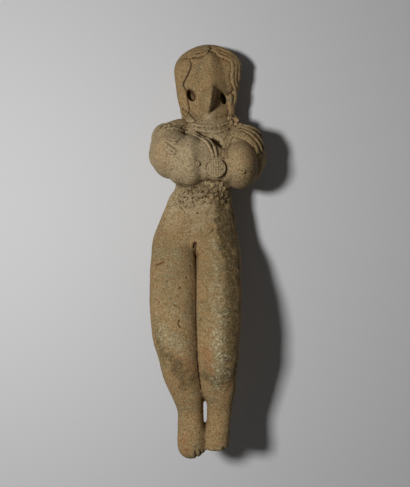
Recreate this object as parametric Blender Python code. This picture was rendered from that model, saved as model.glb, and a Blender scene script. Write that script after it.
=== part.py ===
# A hand-modelled figurine of fired clay: a woman with long pressed-together legs, arms bent up to
# large round breasts, a pinched nose, punched eyes and applied coils of clay for hair and jewellery.
# It lies on its back. +Z is its front, +Y runs to the head, and the origin is under its middle.

import math

import bmesh
import bpy
import numpy as np
from mathutils import Vector
from mathutils.bvhtree import BVHTree

# Sizes in metres
FIGURE_LENGTH = 0.120
REST_FLAT_DEPTH = 0.0005
EYE_DEPTH = 0.0026
NIPPLE_HOLE_DEPTH = 0.0006
HOLE_WALL = 0.0003
HAIR_COIL = 0.0010
SHOULDER_COIL = 0.0008
FINGER_WIDTH = 0.0008
SIDE_LOCK = 0.0014
LOCK_STEP = 0.0006
STRAP_COIL = 0.0009
PELLET_WIDTH = 0.0010
GIRDLE_PELLET = 0.0013
PENDANT_THICKNESS = 0.0013
INCISION_WIDTH = 0.0005
INCISION_DEPTH = 0.0003
LEG_GROOVE_WIDTH = 0.0009
LEG_GROOVE_DEPTH = 0.0006
LEG_GROOVE_FADE = 0.0100
THROAT_HOLLOW_WIDTH = 0.0014
THROAT_HOLLOW_DEPTH = 0.0019
BODY_CELL = 0.00045
SURFACE_CELL = 0.00033

# Counts: smoothing rounds for all the joins, for the ones stroked most, the choker's pellets, and faces
JOIN_ROUNDS = 5
STROKE_ROUNDS = 70
CHOKER_PELLET_COUNT = 11
FACE_COUNT = 9400

# The pose and the carving are shares of the figure's length, in thousandths of it:
# across from the body's axis, along from the toes, up from the back.
SHARE = FIGURE_LENGTH / 1000

# Each row of a body: along, left edge, right edge, back, height of the widest line, front
HEAD_AND_TRUNK = [
    (1000, -66, 84, 14, 50, 86),
    (945, -77, 93, 0, 52, 95),
    (921, -76, 91, -4, 54, 96),
    (890, -72, 86, -4, 54, 97),
    (860, -68, 80, 0, 55, 97),
    (822, -59, 72, 10, 58, 96),
    (792, -62, 76, 20, 80, 118),
    (763, -84, 94, 18, 92, 142),
    (720, -86, 98, 12, 98, 158),
    (676, -80, 90, 18, 100, 160),
    (641, -72, 69, 29, 100, 156),
    (630, -74, 65, 31, 100, 155),
    (618, -84, 65, 30, 99, 153),
    (593, -95, 69, 24, 97, 151),
    (569, -106, 74, 15, 97, 152),
    (540, -117, 78, 8, 99, 157),
    (515, -126, 82, 2, 104, 164),
    (495, -129, 85, -3, 112, 166),
    (475, -130, 87, -4, 122, 156),
    (455, -126, 84, 8, 124, 142),
    (425, -112, 70, 50, 118, 130),
]
LEFT_LEG = [
    (600, -78, -36, 40, 92, 128),
    (570, -90, -32, 30, 93, 138),
    (540, -106, -28, 20, 96, 150),
    (515, -120, -24, 20, 103, 160),
    (495, -126, -20, 24, 112, 172),
    (470, -130, -19, 34, 128, 188),
    (445, -131, -18, 60, 146, 202),
    (425, -131, -17, 92, 160, 216),
    (389, -130, -17, 120, 178, 235),
    (343, -128, -17, 143, 197, 252),
    (309, -124, -16, 155, 208, 262),
    (276, -120, -15, 165, 215, 267),
    (239, -108, -13, 172, 219, 267),
    (194, -98, -9, 168, 209, 252),
    (157, -84, -5, 162, 199, 237),
    (128, -72, -3, 158, 192, 227),
    (103, -64, -3, 156, 187, 220),
    (80, -64, -2, 158, 191, 225),
    (60, -64, 1, 160, 197, 233),
    (42, -64, 1, 164, 202, 238),
    (20, -62, 1, 166, 203, 239),
    (0, -56, -8, 168, 202, 238),
]
RIGHT_LEG = [
    (600, -8, 46, 40, 92, 128),
    (570, -10, 54, 30, 93, 138),
    (540, -14, 62, 20, 96, 150),
    (515, -19, 75, 20, 103, 160),
    (495, -22, 82, 24, 112, 172),
    (470, -22, 87, 34, 128, 188),
    (445, -24, 87, 60, 146, 202),
    (425, -25, 85, 92, 160, 216),
    (389, -25, 87, 120, 178, 235),
    (343, -25, 85, 143, 197, 252),
    (309, -24, 84, 155, 208, 262),
    (276, -23, 80, 165, 215, 267),
    (239, -21, 78, 172, 219, 267),
    (194, -16, 74, 168, 209, 252),
    (157, -11, 72, 162, 199, 237),
    (128, 3, 66, 158, 192, 227),
    (103, 4, 63, 156, 187, 220),
    (80, 3, 59, 158, 191, 225),
    (60, -3, 58, 160, 197, 233),
    (42, -3, 57, 164, 202, 238),
    (20, -2, 55, 166, 203, 239),
]
FACE = [
    (980, -22, 46, 20, 46, 98),
    (950, -44, 70, 20, 44, 110),
    (900, -60, 84, 20, 44, 118),
    (860, -55, 79, 20, 56, 119),
    (825, -50, 72, 20, 70, 114),
    (800, -40, 62, 20, 74, 111),
    (784, -32, 54, 20, 76, 108),
]
NOSE = [
    (925, 1, 19, 60, 72, 104),
    (900, -5, 22, 60, 76, 113),
    (880, -13, 26, 60, 80, 127),
    (865, -18, 27, 60, 84, 139),
    (850, -19, 27, 60, 88, 146),
    (838, -15, 24, 60, 90, 145),
    (825, -8, 19, 60, 92, 135),
    (810, -1, 12, 60, 94, 112),
]

# How far the nose's ridge leans towards the right
NOSE_LEAN = 14

# Each lump: across, along, up, then its half sizes the same three ways
LUMPS = [
    (-46, 695, 142, 52, 66, 75),
    (86, 686, 140, 44, 62, 73),
    (-94, 753, 108, 38, 40, 50),
    (88, 749, 108, 39, 40, 50),
    (-86, 722, 122, 48, 66, 64),
    (96, 718, 116, 50, 70, 54),
    (-78, 712, 142, 52, 56, 68),
    (104, 700, 122, 40, 56, 50),
    (25, 677, 166, 31, 31, 36),
    (-72, 488, 60, 52, 66, 66),
    (30, 488, 60, 52, 66, 66),
]

# Each limb: rows of across, along, up and radius
LIMBS = [
    [(-100, 736, 122, 34), (-98, 704, 150, 32), (-88, 712, 178, 24), (-76, 722, 194, 16)],
    [(108, 734, 112, 34), (112, 702, 122, 32), (108, 704, 142, 26), (100, 712, 160, 18)],
    [(-60, 784, 92, 24), (-88, 764, 112, 30)],
    [(68, 782, 92, 24), (88, 758, 112, 30)],
]

# Each join stroked smooth: across, along, up and how far round it
SOFT_JOINS = [
    (-72, 716, 204, 46),
    (-78, 748, 168, 30),
    (-21, 535, 158, 44),
    (-85, 515, 150, 48),
    (45, 515, 150, 46),
    (20, 905, 112, 40),
]

# Each coil laid on the skin: its places, given as across and along
LEFT_HAIR = [
    [(14, 981), (10, 974), (2, 966), (-12, 962), (-30, 961), (-42, 957)],
    [(11, 983), (0, 974), (-17, 970), (-34, 967), (-49, 960)],
    [(7, 985), (-7, 979), (-25, 974), (-42, 968), (-57, 957)],
    [(-60, 832), (-52, 812), (-40, 795)],
    [(-53, 828), (-43, 810), (-31, 793)],
    [(-45, 822), (-36, 807), (-26, 795)],
]
RIGHT_HAIR = [
    [(16, 979), (25, 972), (37, 962), (52, 956), (64, 950), (68, 935), (66, 913), (69, 893), (76, 878)],
    [(20, 982), (34, 973), (49, 966), (64, 958), (74, 947), (75, 925), (74, 903), (79, 886)],
    [(22, 984), (39, 979), (57, 971), (71, 960), (81, 945), (82, 923), (81, 901)],
    [(27, 985), (47, 981), (64, 971), (79, 957), (88, 939)],
]
RIGHT_LOCKS = [
    [(60, 866), (60, 839), (61, 820), (59, 802)],
    [(74, 878), (76, 856), (73, 839), (71, 822), (76, 805), (81, 792)],
]
LOCK_EDGE = [(-39, 956), (-33, 940), (-37, 925), (-47, 905), (-53, 891), (-46, 878), (-43, 862), (-41, 849),
             (-39, 826), (-46, 812)]
LOCK_FADE = 24
CURLS = [(65, 791), (76, 787), (85, 781)]
CHOKER_PELLETS = [(-30, 789), (-12, 784), (12, 781), (35, 784), (54, 793)]
CHOKER_COIL = [(-26, 778), (-2, 770), (17, 767), (37, 769), (58, 780)]
STRAPS = [
    [(-35, 760), (-17, 749), (-1, 736), (8, 719), (14, 698)],
    [(-30, 764), (-12, 753), (5, 741), (15, 724), (21, 700)],
    [(65, 757), (57, 740), (52, 721), (50, 698)],
    [(59, 759), (51, 744), (45, 726), (41, 702)],
]
LEG_GROOVE = [(-25, 497), (-22, 470), (-20, 440), (-19, 410)]
THROAT_HOLLOW = [(0, 757), (14, 748), (27, 735)]
SHOULDER_STRANDS = [
    [(-113, 771), (-101, 782), (-84, 788), (-65, 785), (-48, 777)],
    [(-108, 766), (-94, 777), (-77, 780), (-60, 777), (-43, 767)],
    [(-101, 764), (-86, 771), (-70, 772), (-53, 768)],
    [(67, 758), (84, 750), (101, 742), (114, 730)],
    [(70, 762), (89, 754), (107, 743), (119, 728), (122, 708)],
    [(74, 766), (94, 758), (110, 744), (122, 728), (127, 711)],
    [(74, 772), (96, 766), (115, 753), (130, 734), (136, 716)],
    [(77, 778), (98, 774), (120, 762), (134, 744), (142, 725)],
    [(79, 783), (103, 780), (125, 771), (139, 754)],
]
FINGERS = [
    [(-89, 737), (-77, 732), (-67, 734)],
    [(-84, 743), (-72, 738), (-61, 743)],
    [(-94, 730), (-80, 719), (-67, 711)],
    [(-97, 724), (-84, 713), (-72, 705)],
]
GROIN_LINE = [(-72, 598), (-48, 574), (-36, 557), (-28, 538)]
NIPPLES = [(-17, 683, 5.5), (87, 666, 6.2)]
EYES = [(-34, 866, 11, 16, -0.25), (45, 857, 7.5, 15.5, -0.3)]
PENDANT = (25, 675, 25, 24)
GIRDLE_ROWS = [(641, 4, 44, 5), (628, -64, 48, 12), (615, -74, 58, 13), (602, -82, 58, 13), (591, -86, -20, 6)]
BACK_HAIR = [-52, -30, -8, 14, 36, 58, 78]
BACK_HAIR_ENDS = (960, 890, 830)
BACK_CLEFT = [(-21, 545), (-21, 500), (-21, 455)]


def in_metres(shares):
    return np.array(shares, float) * SHARE


def smooth_rows(rows, wanted):
    """Reads rows whose first column rises at the wanted values of that column, on a smooth curve."""
    rows = np.array(rows, float)
    rows = rows[np.argsort(rows[:, 0])]
    knots, values = rows[:, 0], rows[:, 1:]
    slopes = np.gradient(values, knots, axis=0)
    span = np.clip(np.searchsorted(knots, wanted) - 1, 0, len(knots) - 2)
    width = (knots[span + 1] - knots[span])[:, None]
    part = ((wanted - knots[span])[:, None]) / width
    return (
        values[span] * (2 * part**3 - 3 * part**2 + 1)
        + values[span + 1] * (3 * part**2 - 2 * part**3)
        + slopes[span] * width * (part**3 - 2 * part**2 + part)
        + slopes[span + 1] * width * (part**3 - part**2)
    )


def smooth_path(points, count):
    """Spaces count points evenly along a smooth curve through the given ones."""
    points = np.array(points, float)
    steps = np.linalg.norm(np.diff(points[:, :2], axis=0), axis=1)
    travel = np.concatenate([[0], np.cumsum(steps)])
    return smooth_rows(np.column_stack([travel, points]), np.linspace(0, travel[-1], count))


def skin_rings(clay, rings):
    """Joins closed rings of points into one closed skin."""
    loops = [[clay.verts.new(point) for point in ring] for ring in rings]
    for lower, upper in zip(loops, loops[1:]):
        for i in range(len(lower)):
            j = (i + 1) % len(lower)
            clay.faces.new((lower[i], lower[j], upper[j], upper[i]))
    clay.faces.new(list(reversed(loops[0])))
    clay.faces.new(loops[-1])


def loft(clay, rows, low_dome, high_dome, power=2.2, rings=72, lean=0, sides=44):
    """Builds a body from its rows, with round ends of the given lengths and its top leaning sideways."""
    low, high = min(rows)[0], max(rows)[0]
    along = low + (high - low) * (1 - np.cos(np.linspace(0, math.pi, rings))) / 2
    shapes = smooth_rows(rows, along)
    turn = np.linspace(0, 2 * math.pi, sides, endpoint=False)
    wide = np.sign(np.cos(turn)) * np.abs(np.cos(turn)) ** (2 / power)
    deep = np.sign(np.sin(turn)) * np.abs(np.sin(turn)) ** (2 / power)
    skin = []
    for place, (left, right, back, side, front) in zip(along, shapes):
        low_share = min(1, (place - low) / low_dome)
        high_share = min(1, (high - place) / high_dome)
        size = max(0.04, math.sqrt(1 - (1 - low_share) ** 2) * math.sqrt(1 - (1 - high_share) ** 2))
        across = (left + right) / 2 + (wide * (right - left) / 2 + lean * np.clip(deep, 0, 1)) * size
        up = side + np.where(deep > 0, deep * (front - side), deep * (side - back)) * size
        skin.append(np.column_stack([across, np.full(sides, place), up]) * SHARE)
    skin_rings(clay, [ring[::-1] for ring in skin])


def sweep(clay, path, radii, lifts, flat=1.0, sides=12):
    """Runs a coil along a path, with a round section that is flattened against the lift direction."""
    ahead = np.gradient(path, axis=0)
    ahead /= np.linalg.norm(ahead, axis=1)[:, None]
    sideways = np.cross(ahead, lifts)
    sideways /= np.linalg.norm(sideways, axis=1)[:, None]
    upward = np.cross(sideways, ahead)
    turn = np.linspace(0, 2 * math.pi, sides, endpoint=False)
    sections = [np.outer(np.cos(turn), side) + flat * np.outer(np.sin(turn), up)
                for side, up in zip(sideways, upward)]
    rings = [place + section * radius for place, section, radius in zip(path, sections, radii)]
    for reach, size in ((0.6, 0.8), (0.95, 0.3)):
        rings.insert(0, path[0] + (sections[0] * size - ahead[0] * reach) * radii[0])
        rings.append(path[-1] + (sections[-1] * size + ahead[-1] * reach) * radii[-1])
    skin_rings(clay, rings)


def limb(clay, rows, count=24):
    """A tapering arm through rows of across, along, up and radius."""
    course = smooth_path(rows, count) * SHARE
    sweep(clay, course[:, :3], course[:, 3], np.tile([0.3, 0.2, 1.0], (count, 1)), sides=20)


def ball(clay, centre, half, rings=18, sides=28):
    """An egg-shaped lump."""
    turn = np.linspace(0, 2 * math.pi, sides, endpoint=False)
    shell = []
    for rise in np.linspace(-0.47, 0.47, rings) * math.pi:
        ring = np.column_stack([np.cos(turn), np.sin(turn), np.full(sides, math.tan(rise))]) * math.cos(rise)
        shell.append(np.array(centre) + ring * np.array(half))
    skin_rings(clay, shell)


def mesh_of(clay, name):
    bmesh.ops.recalc_face_normals(clay, faces=clay.faces)
    mesh = bpy.data.meshes.new(name)
    clay.to_mesh(mesh)
    clay.free()
    return mesh


def worked(mesh, modifiers):
    """Gives the mesh as the listed modifiers leave it."""
    holder = bpy.data.objects.new("working clay", mesh)
    bpy.context.scene.collection.objects.link(holder)
    for kind, settings in modifiers:
        modifier = holder.modifiers.new(kind.title(), kind)
        for setting, value in settings.items():
            setattr(modifier, setting, value)
    evaluated = holder.evaluated_get(bpy.context.evaluated_depsgraph_get())
    result = bpy.data.meshes.new_from_object(evaluated)
    bpy.data.objects.remove(holder)
    return result


def fused(mesh, cell, rounds):
    """Fuses overlapping lumps into one skin and smooths the joins, as wet fingers do."""
    return worked(mesh, [
        ("REMESH", {"mode": "VOXEL", "voxel_size": cell}),
        ("SMOOTH", {"factor": 0.5, "iterations": rounds}),
    ])


class Surface:
    """The clay's skin, for laying coils on it and for pressing and raising it."""

    def __init__(self, mesh):
        self.mesh = mesh
        self.points = np.empty((len(mesh.vertices), 3))
        self.outward = np.empty((len(mesh.vertices), 3))
        mesh.vertices.foreach_get("co", self.points.ravel())
        mesh.vertices.foreach_get("normal", self.outward.ravel())
        clay = bmesh.new()
        clay.from_mesh(mesh)
        self.tree = BVHTree.FromBMesh(clay)
        clay.free()

    def drop(self, across, along, from_back=False):
        """The point and outward direction of the skin straight under a place."""
        way = 1 if from_back else -1
        start = Vector((across * SHARE, along * SHARE, -way * FIGURE_LENGTH))
        place, outward, _, _ = self.tree.ray_cast(start, Vector((0, 0, way)))
        if place is None:
            place, outward, _, _ = self.tree.find_nearest(Vector((across * SHARE, along * SHARE, 50 * SHARE)))
        return np.array(place), np.array(outward)

    def lay(self, points, count, from_back=False):
        """A smooth course on the skin through places given as across and along."""
        course = smooth_path(points, count)
        found = [self.drop(across, along, from_back) for across, along in course[:, :2]]
        return np.array([place for place, _ in found]), np.array([outward for _, outward in found])

    def press(self, amounts):
        """Moves the skin inwards by the amounts, point by point."""
        self.points -= self.outward * amounts[:, None]

    def groove(self, course, width, depth, fade=None):
        """Presses a rounded groove along a course, running out over the fade at its last point."""
        pressed = depth * np.clip(1 - (self.distance(course) / width) ** 2, 0, 1) ** 1.5
        if fade:
            pressed *= np.clip((self.points[:, 1] - course[-1, 1]) / fade, 0, 1)
        self.press(pressed)

    def distance(self, course):
        """How far each point of the skin is from a course."""
        nearest = np.full(len(self.points), FIGURE_LENGTH)
        for start, end in zip(course, course[1:]):
            run = end - start
            share = np.clip((self.points - start) @ run / max(run @ run, 1e-18), 0, 1)
            gap = np.linalg.norm(self.points - start - share[:, None] * run, axis=1)
            nearest = np.minimum(nearest, gap)
        return nearest

    def stroke(self, joins, rounds):
        """Evens the skin out round each join, as a wet finger does."""
        ends = np.empty(2 * len(self.mesh.edges), int)
        self.mesh.edges.foreach_get("vertices", ends)
        pull = np.zeros(len(self.points))
        for across, along, up, reach in joins:
            gap = np.linalg.norm(self.points / SHARE - (across, along, up), axis=1)
            pull = np.maximum(pull, np.clip(1.6 - 1.6 * gap / reach, 0, 1))
        chosen = np.flatnonzero(pull)
        order = np.full(len(pull), -1)
        order[chosen] = np.arange(len(chosen))
        first, second = ends[::2], ends[1::2]
        inside = (order[first] >= 0) & (order[second] >= 0)
        first, second = order[first[inside]], order[second[inside]]
        count = np.maximum(np.bincount(np.concatenate([first, second]), minlength=len(chosen)), 1)
        pull = pull[chosen]
        for axis in range(3):
            place = self.points[chosen, axis]
            for _ in range(rounds):
                total = (np.bincount(first, place[second], len(place))
                         + np.bincount(second, place[first], len(place)))
                place += 0.7 * pull * (total / count - place)
            self.points[chosen, axis] = place

    def punch(self, across, along, half_wide, half_long, slant, depth, wall):
        """Pushes a stick straight into the front, leaving an oval hole with steep walls."""
        place, _ = self.drop(across, along)
        offset = (self.points - place) / SHARE
        sideways = offset[:, 0] - slant * offset[:, 1]
        round_share = np.hypot(sideways / half_wide, offset[:, 1] / half_long)
        edge = wall / (min(half_wide, half_long) * SHARE)
        inside = np.clip((1 - round_share) / edge, 0, 1)
        near = (np.abs(offset[:, 2]) * SHARE < depth * 1.5) & (self.outward[:, 2] > 0)
        self.points[:, 2] -= depth * inside * near

    def write(self):
        self.mesh.vertices.foreach_set("co", self.points.ravel())
        self.mesh.update()
        return self.mesh


def body_clay():
    """The figure before anything is applied to it."""
    clay = bmesh.new()
    loft(clay, HEAD_AND_TRUNK, low_dome=25, high_dome=62, power=2.3)
    loft(clay, LEFT_LEG, low_dome=24, high_dome=60, power=2.5)
    loft(clay, RIGHT_LEG, low_dome=9, high_dome=60, power=2.5)
    loft(clay, FACE, low_dome=16, high_dome=20, power=1.3, rings=40)
    loft(clay, NOSE, low_dome=10, high_dome=40, power=1.3, rings=40, lean=NOSE_LEAN)
    for lump in LUMPS:
        ball(clay, in_metres(lump[:3]), in_metres(lump[3:]))
    for rows in LIMBS:
        limb(clay, rows)
    return mesh_of(clay, "body")


def press_body(skin):
    """What fingers and a stick press into the body before the coils go on."""
    hollow, _ = skin.lay(THROAT_HOLLOW, 12)
    skin.groove(hollow, THROAT_HOLLOW_WIDTH, THROAT_HOLLOW_DEPTH)
    between, _ = skin.lay(LEG_GROOVE, 16)
    skin.groove(between, LEG_GROOVE_WIDTH, LEG_GROOVE_DEPTH, LEG_GROOVE_FADE)
    edge_along = np.array([along for _, along in LOCK_EDGE]) * SHARE
    edge_across = np.array([across for across, _ in LOCK_EDGE]) * SHARE
    beyond = np.interp(skin.points[:, 1], edge_along[::-1], edge_across[::-1]) - skin.points[:, 0]
    ends = np.minimum(skin.points[:, 1] - edge_along[-1], edge_along[0] - skin.points[:, 1])
    step = np.clip(beyond / HOLE_WALL, 0, 1) * np.clip(ends / (LOCK_FADE * SHARE), 0, 1)
    facing = np.clip(skin.outward[:, 2] * 1.6, 0, 1)
    skin.press(-LOCK_STEP * step * facing)


def coil(clay, skin, places, width, flat=0.8, lift=0.2, count=40):
    """Lays a coil of the given width on the skin."""
    course, outward = skin.lay(places, count)
    taper = np.clip(np.minimum(np.arange(count), count - 1 - np.arange(count)) / 4 + 0.45, 0, 1)
    sweep(clay, course + outward * width * lift, taper * width / 2, outward, flat)


def pellet(clay, skin, across, along, width, flat=0.7):
    """Presses a small ball of clay onto the skin."""
    place, outward = skin.drop(across, along)
    centre = place + outward * width * 0.22
    ball(clay, centre, np.array([width, width, width * flat]) / 2)


def girdle_places():
    """Staggered pellets on the front of the waist, row by row."""
    for row, (along, left, right, count) in enumerate(GIRDLE_ROWS):
        for i in range(count):
            share = (i + 0.5 * (row % 2)) / count
            yield left + (right - left) * share, along + 3 * math.sin(2.4 * i + row)


def applied_clay(skin):
    """Hair, jewellery, fingers and nipples, laid on the body's skin."""
    clay = bmesh.new()
    for places in LEFT_HAIR + RIGHT_HAIR:
        coil(clay, skin, places, HAIR_COIL)
    for places in RIGHT_LOCKS:
        coil(clay, skin, places, SIDE_LOCK, flat=0.7)
    for places in SHOULDER_STRANDS:
        coil(clay, skin, places, SHOULDER_COIL)
    for places in FINGERS:
        coil(clay, skin, places, FINGER_WIDTH, lift=0.1)
    for places in STRAPS + [CHOKER_COIL]:
        coil(clay, skin, places, STRAP_COIL)
    for across, along in smooth_path(CHOKER_PELLETS, CHOKER_PELLET_COUNT)[:, :2]:
        pellet(clay, skin, across, along, PELLET_WIDTH)
    for across, along in CURLS:
        pellet(clay, skin, across, along, 1.3 * PELLET_WIDTH)
    for across, along in girdle_places():
        pellet(clay, skin, across, along, GIRDLE_PELLET, flat=0.4)
    for across, along, radius in NIPPLES:
        pellet(clay, skin, across, along, 2 * radius * SHARE, flat=0.6)
    across, along, half_wide, half_long = PENDANT
    place, _ = skin.drop(across, along)
    ball(clay, place, (half_wide * SHARE, half_long * SHARE, PENDANT_THICKNESS / 2))
    return mesh_of(clay, "applied clay")


def incise(skin):
    """Eye and nipple holes, and lines cut with a point."""
    for across, along, half_wide, half_long, slant in EYES:
        skin.punch(across, along, half_wide, half_long, slant, EYE_DEPTH, HOLE_WALL)
    for across, along, radius in NIPPLES:
        skin.punch(across, along, radius / 2, radius / 2, 0, NIPPLE_HOLE_DEPTH, HOLE_WALL)
    groin, _ = skin.lay(GROIN_LINE, 16)
    skin.groove(groin, INCISION_WIDTH, INCISION_DEPTH)
    across, along, half_wide, half_long = PENDANT
    for i in range(-3, 4):
        reach = 0.8 * half_long * math.sqrt(1 - (i / 4) ** 2)
        line = [(across + i * half_wide / 4, along - reach), (across + i * half_wide / 4, along + reach)]
        course, _ = skin.lay(line, 8)
        skin.groove(course, INCISION_WIDTH, INCISION_DEPTH)
    for across in BACK_HAIR:
        top, middle, end = BACK_HAIR_ENDS
        course, _ = skin.lay([(across, top), (across, middle), (0.9 * across, end)], 16, from_back=True)
        skin.groove(course, 2 * INCISION_WIDTH, INCISION_DEPTH)
    cleft, _ = skin.lay(BACK_CLEFT, 16, from_back=True)
    skin.groove(cleft, 3 * INCISION_WIDTH, 1.5 * INCISION_DEPTH)


def cut_flat(mesh):
    """Cuts the small flats that the figure rests on, and sets the origin under its middle."""
    clay = bmesh.new()
    clay.from_mesh(mesh)
    lowest = min(vert.co.z for vert in clay.verts)
    level = lowest + REST_FLAT_DEPTH
    geometry = list(clay.verts) + list(clay.edges) + list(clay.faces)
    cut = bmesh.ops.bisect_plane(
        clay, geom=geometry, dist=1e-7, plane_co=(0, 0, level), plane_no=(0, 0, -1), clear_outer=True)
    rim = [part for part in cut["geom_cut"] if isinstance(part, bmesh.types.BMEdge)]
    bmesh.ops.contextual_create(clay, geom=rim)
    bmesh.ops.triangulate(clay, faces=clay.faces)
    low = [min(vert.co[axis] for vert in clay.verts) for axis in range(3)]
    high = [max(vert.co[axis] for vert in clay.verts) for axis in range(3)]
    middle = Vector(((low[0] + high[0]) / 2, (low[1] + high[1]) / 2, level))
    bmesh.ops.translate(clay, verts=clay.verts, vec=-middle)
    clay.to_mesh(mesh)
    clay.free()
    return middle


def fired_clay():
    """Low-fired buff clay: dull, with no shine."""
    material = bpy.data.materials.new("fired clay")
    material.use_nodes = True
    surface = material.node_tree.nodes["Principled BSDF"]
    surface.inputs["Base Color"].default_value = (0.30, 0.22, 0.12, 1)
    surface.inputs["Roughness"].default_value = 0.9
    surface.inputs["Metallic"].default_value = 0
    return material


def joined(first, second):
    clay = bmesh.new()
    clay.from_mesh(first)
    clay.from_mesh(second)
    return mesh_of(clay, "clay")


def main():
    for old in list(bpy.data.objects):
        bpy.data.objects.remove(old)
    body = Surface(fused(body_clay(), BODY_CELL, JOIN_ROUNDS))
    body.stroke(SOFT_JOINS, STROKE_ROUNDS)
    body = Surface(body.write())
    press_body(body)
    body = Surface(body.write())
    skin = Surface(fused(joined(body.mesh, applied_clay(body)), SURFACE_CELL, 0))
    incise(skin)
    mesh = worked(skin.write(), [("DECIMATE", {"ratio": FACE_COUNT / (2 * len(skin.mesh.polygons))})])
    cut_flat(mesh)
    mesh.materials.append(fired_clay())
    mesh.shade_smooth()
    figure = bpy.data.objects.new("figurine", mesh)
    bpy.context.scene.collection.objects.link(figure)


main()
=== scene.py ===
import math

import bmesh
import bpy
import numpy as np
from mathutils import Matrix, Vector, noise
from mathutils.bvhtree import BVHTree


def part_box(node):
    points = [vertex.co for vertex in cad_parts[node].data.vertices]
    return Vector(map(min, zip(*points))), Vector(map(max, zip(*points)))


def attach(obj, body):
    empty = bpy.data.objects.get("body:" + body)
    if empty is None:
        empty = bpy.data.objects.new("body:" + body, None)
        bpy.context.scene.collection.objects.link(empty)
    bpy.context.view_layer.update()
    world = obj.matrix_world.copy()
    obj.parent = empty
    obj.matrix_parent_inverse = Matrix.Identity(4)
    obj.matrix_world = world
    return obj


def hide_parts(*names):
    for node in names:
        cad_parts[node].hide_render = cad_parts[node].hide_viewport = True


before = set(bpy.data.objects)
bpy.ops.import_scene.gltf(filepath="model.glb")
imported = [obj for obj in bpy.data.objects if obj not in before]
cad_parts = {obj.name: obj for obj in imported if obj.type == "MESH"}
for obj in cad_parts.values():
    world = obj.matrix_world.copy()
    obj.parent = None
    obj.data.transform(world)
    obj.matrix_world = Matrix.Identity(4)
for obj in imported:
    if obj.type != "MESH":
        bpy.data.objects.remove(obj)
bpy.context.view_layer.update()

# The figure is laid out in thousandths of its own length: across from the body's axis,
# along from the toes, up from the back
lowCorner, highCorner = (np.array(corner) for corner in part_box("figurine"))
figureLength = highCorner[1] - lowCorner[1]
share = figureLength / 1000
millimetre = 0.001

# The lens stood over the middle of the figure's width, at this place along it
lensAlong = 498.4

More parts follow.
